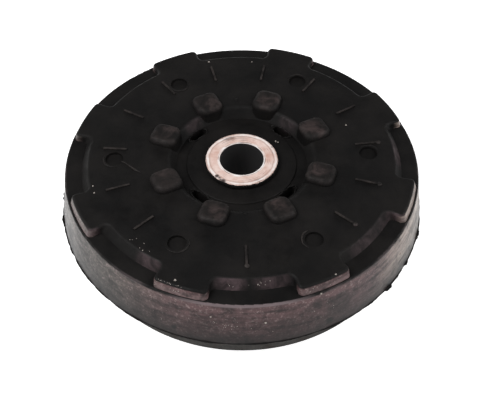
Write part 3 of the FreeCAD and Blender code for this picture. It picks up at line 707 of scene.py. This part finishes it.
bushFilm = {
    "radius": 12.0,        # mm, middle of the film
    "thickness": 0.5,
    "foot": 28.5,          # under the collar's top
    "top": 30.46,
    "raggedTop": 0.12,     # mm, how far the top wanders up and down
    "raggedSide": 0.1,     # mm, how far the film wanders in and out
    "raggedThickness": 0.35,  # as a share of the thickness
}


# A ring whose top edge, radius and thickness each follow a wandering line
def addBushFilm():
    a = np.arange(0, 360, 1.5)
    t = a / 360
    half = (bushFilm["top"] + bushFilm["raggedTop"] * wander(t, seed=5, slowest=11) - bushFilm["foot"]) / 2
    radius = bushFilm["radius"] + bushFilm["raggedSide"] * wander(t, seed=6, slowest=8)
    thickness = bushFilm["thickness"] / 2 * (1 + bushFilm["raggedThickness"] * wander(t, seed=9, slowest=9))
    path = around(radius, a, bushFilm["foot"] + half)
    makePiece("bushFilm", [sweep(path, thickness, half, closed=True, sides=10)], rubber)


# Small marks of the mould
# Torn lips round four pockets, pips at the outer ends of four ribs, two dots, thin raised rims beside the dimples
# of the pins, and one slanted ridge.

marks = {
    "top": 31.8,           # mm, height of the top face
    # torn lips round the four pockets of the groove: circle of their middles, half width and half length, mm
    "lipAngles": [48, 138, 228, 318],
    "lipCircle": 19.95,
    "lipSize": (1.75, 3.9),
    "lipHeight": 28.3,
    "lipHalf": (0.24, 0.34),   # half width and half height of the lip itself
    "raggedSize": 0.12,        # how much the lip's course and its thickness wander, as shares
    "raggedLip": 0.6,
    "pips": [7.9, 344.1, 320.1, 272.1],
    "pipCircle": 45.7,
    "pipSize": (0.85, 0.62),   # radius and rise
    "dots": [(24.9, 272.6), (27.4, 93.8)],     # radius and angle
    "dotSize": (0.7, 0.35),
    "dotSink": 0.05,
    # raised rims: angle of the dimple, first and last angle of the arc, its radius, rise
    "dimpleCircle": 41.65,
    "rims": [
        (242.0, 205, 395, 3.75, 0.3),
        (302.0, 95, 250, 3.8, 0.34),
        (2.0, 10, 150, 3.6, 0.2),
        (122.0, 190, 350, 3.6, 0.2),
        (62.0, 20, 160, 3.6, 0.2),
        (182.0, 150, 300, 3.6, 0.2),
    ],
    "rimHalf": 0.32,
    "raggedRim": 0.03,
    "rimBlunt": 0.7,           # powers of the half sines
    "ridgeBlunt": 0.5,
    "ridge": ((39.6, 183.6), (32.9, 194.2)),   # radius and angle of both ends
    "ridgeHalf": 0.34,
    "ridgeRise": 0.4,
    "raggedRidge": 0.3,
    "ridgeSway": (0.25, 1.1),  # mm, and waves from end to end
}


# A lip round each pocket: a tube along a flat ellipse that is turned to the pocket's angle. Its size and its
# thickness follow wandering lines.
def pocketLips():
    shells = []
    t = np.arange(0, 1, 1 / 72)
    for number, angle in enumerate(marks["lipAngles"]):
        size = 1 + marks["raggedSize"] * wander(t, seed=80 + number, slowest=3)
        out, along = (half * size for half in marks["lipSize"])
        x = marks["lipCircle"] + out * np.cos(2 * np.pi * t)
        y = along * np.sin(2 * np.pi * t)
        a = np.radians(angle)
        turned = [x * np.cos(a) - y * np.sin(a), x * np.sin(a) + y * np.cos(a), marks["lipHeight"] + 0 * x]
        torn = 1 + marks["raggedLip"] * wander(t, seed=90 + number, slowest=4)
        shells.append(sweep(np.stack(turned, axis=-1), *(half * torn for half in marks["lipHalf"]), closed=True))
    return shells


# A rim beside each dimple: an arc round the dimple's middle, whose radius wanders and whose width and rise follow
# a half sine to a power
def dimpleRims():
    shells = []
    t = np.linspace(0, 1, 33)
    size = swell(t, marks["rimBlunt"])
    for number, (angle, first, last, radius, rise) in enumerate(marks["rims"]):
        middle = around(marks["dimpleCircle"], angle, marks["top"])
        course = radius * (1 + marks["raggedRim"] * wander(t, seed=40 + number, slowest=1))
        path = around(course, np.linspace(first, last, len(t)), 0) + middle
        shells.append(sweep(path, marks["rimHalf"] * size, rise * size))
    return shells


# The ridge: a straight line with a small sine sideways, whose width and rise follow a half sine to a power, times
# a wandering line
def slantedRidge():
    t = np.linspace(0, 1, 25)
    start, end = (around(radius, angle, marks["top"]) for radius, angle in marks["ridge"])
    path = start + (end - start) * t[:, None]
    sway, waves = marks["ridgeSway"]
    path[:, 1] += sway * np.sin(2 * np.pi * waves * t)
    size = swell(t, marks["ridgeBlunt"]) * (1 + marks["raggedRidge"] * wander(t, seed=60, slowest=1))
    return [sweep(path, marks["ridgeHalf"] * size, marks["ridgeRise"] * size)]


# Pips and dots are domes
def addMarks():
    pips = [dome(around(marks["pipCircle"], angle, marks["top"]), marks["pipSize"]) for angle in marks["pips"]]
    height = marks["top"] - marks["dotSink"]
    dots = [dome(around(radius, angle, height), marks["dotSize"]) for radius, angle in marks["dots"]]
    makePiece("mouldMarks", pocketLips() + pips + dots + dimpleRims() + slantedRidge(), rubber)


# Talc grains and painted glints
# Talc keeps raw rubber from sticking. Some grains are left: pale, dry and flat against the surface. Six grains are
# painted glints instead, on the edges of the gaps at the left and at the back, and beside the bush.

grains = {
    "tone": [(0.3, "#7b746f"), (0.6, "#a39b94")],
    "powder": {"Scale": 1 / 0.2, "Detail": 2.0},   # 0.2 mm, drawn coarser than real so that it shows
    "surface": {"Roughness": 0.9, "Specular IOR Level": 0.2},
    "seed": 11,
    "radius": 0.34,        # mm, clumps of the powder
    "spread": (0.65, 1.15),    # smallest and largest, as shares of the radius
    "flatness": 0.8,
    "places": [
        # the first four places and the two at x 11.4 and 12.2 mm are painted glints on edges of the rubber; the rest
        # are talc
        (-47.4, -13.5, 31.8), (-46.7, -16.5, 31.75), (-11.9, 47.3, 31.8), (3.6, 47.4, 31.8), (-25.9, -52.3, 25.1),
        (-19.4, -50.9, 31.8), (-18.4, -53.8, 30.3), (4.9, -51.3, 30.2), (7.2, -58.7, 21.4), (23.5, -53.1, 28.3),
        (27.8, -48.6, 31.8), (35.2, 14.7, 31.8), (11.4, 9.9, 28.75), (12.2, 9.5, 28.75), (-40.3, -42.0, 20.4),
        (3.0, -59.0, 19.2), (-9.0, -58.0, 23.4), (18.0, -55.7, 17.0), (33.9, -48.2, 18.8),
    ],
    "fineRadius": 0.13,
    "fineSpread": (0.6, 1.3),
    # dusted places: first and last angle, radius and its spread, height and its spread, how far the surface leans
    # out for each mm of height, count
    "dusted": [
        (243.2, 252.0, 56.2, 0.15, 31.78, 0.0, 0.0, 12),
        (243.2, 252.0, 56.9, 0.0, 30.3, 0.8, -0.3, 9),
        (289.0, 300.0, 56.9, 0.0, 30.3, 0.8, -0.3, 8),
        (265.0, 281.0, 51.35, 0.0, 30.3, 0.8, -0.77, 10),
        (222.0, 237.0, 48.6, 1.4, 31.8, 0.0, 0.0, 8),
        (262.0, 269.0, 59.15, 0.0, 20.5, 1.5, -0.153, 14),
        (236.0, 300.0, 59.1, 0.0, 21.0, 4.0, -0.153, 20),
    ],
}


def talcMaterial():
    mat, tree = newMaterial("talcPowder")
    powder = add(tree, "ShaderNodeTexNoise", {"Vector": placeInMm(tree)}, grains["powder"]).outputs["Fac"]
    colour = add(tree, "ShaderNodeValToRGB", {"Fac": powder}, stops=grains["tone"]).outputs["Color"]
    shader = add(tree, "ShaderNodeBsdfPrincipled", {"Base Color": colour}, grains["surface"])
    add(tree, "ShaderNodeOutputMaterial", {"Surface": shader.outputs[0]})
    return mat


# Each grain is a small dome. Fine ones are spread evenly at random over the dusted places.
def addGrains():
    rng = np.random.default_rng(grains["seed"])
    shells = []
    for place in grains["places"]:
        width = grains["radius"] * rng.uniform(*grains["spread"])
        shells.append(dome(place, (width, width * grains["flatness"]), rings=3, sides=8))
    for first, last, radius, spread, height, rise, lean, count in grains["dusted"]:
        angles = rng.uniform(first, last, count)
        heights = rng.uniform(height - rise, height + rise, count)
        radii = rng.uniform(radius - spread, radius + spread, count) + lean * (heights - height)
        widths = grains["fineRadius"] * rng.uniform(*grains["fineSpread"], count)
        for place, width in zip(around(radii, angles, heights), widths):
            shells.append(dome(place, (width, width), rings=3, sides=6))
    makePiece("talcGrains", shells, talcMaterial())


addFlash()
addBushFilm()
addMarks()
addGrains()
print("small pieces are made")

# Stage

stage = {
    "halfSide": 2000,      # mm
    "paper": "#e6e6e6",
    "glow": 0.85,          # together with the light on the paper this shows white
    # tone from the horizon up to the top, 0 to 1: a bright band, so that the walls of the rim shine, and a darker
    # ceiling, so that the flat top stays black
    "sky": [(0.0, "#ffffff"), (0.22, "#ffffff"), (0.42, "#7c7c7c"), (0.6, "#3c3c3c"), (1.0, "#484848")],
    "aim": (0, 0, 20),     # mm, where the softboxes point
    "softboxes": {
        "keySoftbox": {"place": (-260, -120, 420), "size": (300, 300), "watts": 2.0},
        "fillSoftbox": {"place": (300, -80, 300), "size": (260, 260), "watts": 0.8},
    },
}


# Paper that glows to white for the camera and in reflections, and is matt for the rest of the light
def addFloor():
    side = stage["halfSide"] * mm
    mesh = bpy.data.meshes.new("floor")
    mesh.from_pydata([(-side, -side, 0), (side, -side, 0), (side, side, 0), (-side, side, 0)], [], [(0, 1, 2, 3)])
    floor = bpy.data.objects.new("floor", mesh)
    bpy.context.collection.objects.link(floor)
    mat, tree = newMaterial("paperSweep")
    light = add(tree, "ShaderNodeLightPath").outputs
    seen = light["Is Camera Ray"]
    for ray in ("Is Glossy Ray", "Is Transmission Ray"):
        seen = add(tree, "ShaderNodeMath", {0: seen, 1: light[ray]}, operation="MAXIMUM").outputs[0]
    matt = add(tree, "ShaderNodeBsdfDiffuse", values={"Color": linear(stage["paper"])}).outputs[0]
    glow = add(tree, "ShaderNodeEmission", values={"Strength": stage["glow"]}).outputs[0]
    both = add(tree, "ShaderNodeAddShader", {0: matt, 1: glow}).outputs[0]
    mix = add(tree, "ShaderNodeMixShader", {0: seen, 1: matt, 2: both}).outputs[0]
    add(tree, "ShaderNodeOutputMaterial", {"Surface": mix})
    mesh.materials.append(mat)


# White for the camera, and the sky's tones for the light
def addWorld():
    world = bpy.data.worlds.new("studio")
    bpy.context.scene.world = world
    world.use_nodes = True
    tree = world.node_tree
    tree.nodes.clear()
    seen = add(tree, "ShaderNodeLightPath").outputs["Is Camera Ray"]
    direction = add(tree, "ShaderNodeTexCoord").outputs["Generated"]
    height = add(tree, "ShaderNodeSeparateXYZ", {"Vector": direction}).outputs["Z"]
    sky = add(tree, "ShaderNodeValToRGB", {"Fac": height}, stops=stage["sky"]).outputs["Color"]
    studio = add(tree, "ShaderNodeBackground", {"Color": sky}, {"Strength": 1.0}).outputs[0]
    white = add(tree, "ShaderNodeBackground", values={"Color": linear("#ffffff"), "Strength": 1.0}).outputs[0]
    mix = add(tree, "ShaderNodeMixShader", {0: seen, 1: studio, 2: white}).outputs[0]
    add(tree, "ShaderNodeOutputWorld", {"Surface": mix})


def addSoftboxes():
    for name, look in stage["softboxes"].items():
        lamp = bpy.data.lights.new(name, "AREA")
        lamp.shape = "RECTANGLE"
        lamp.size, lamp.size_y = look["size"][0] * mm, look["size"][1] * mm
        lamp.energy = look["watts"]
        softbox = bpy.data.objects.new(name, lamp)
        softbox.location = Vector(look["place"]) * mm
        softbox.rotation_euler = (Vector(look["place"]) - Vector(stage["aim"])).to_track_quat("Z", "Y").to_euler()
        bpy.context.collection.objects.link(softbox)


addFloor()
addWorld()
addSoftboxes()
bpy.context.scene.view_settings.view_transform = "Standard"
print("stage is set")
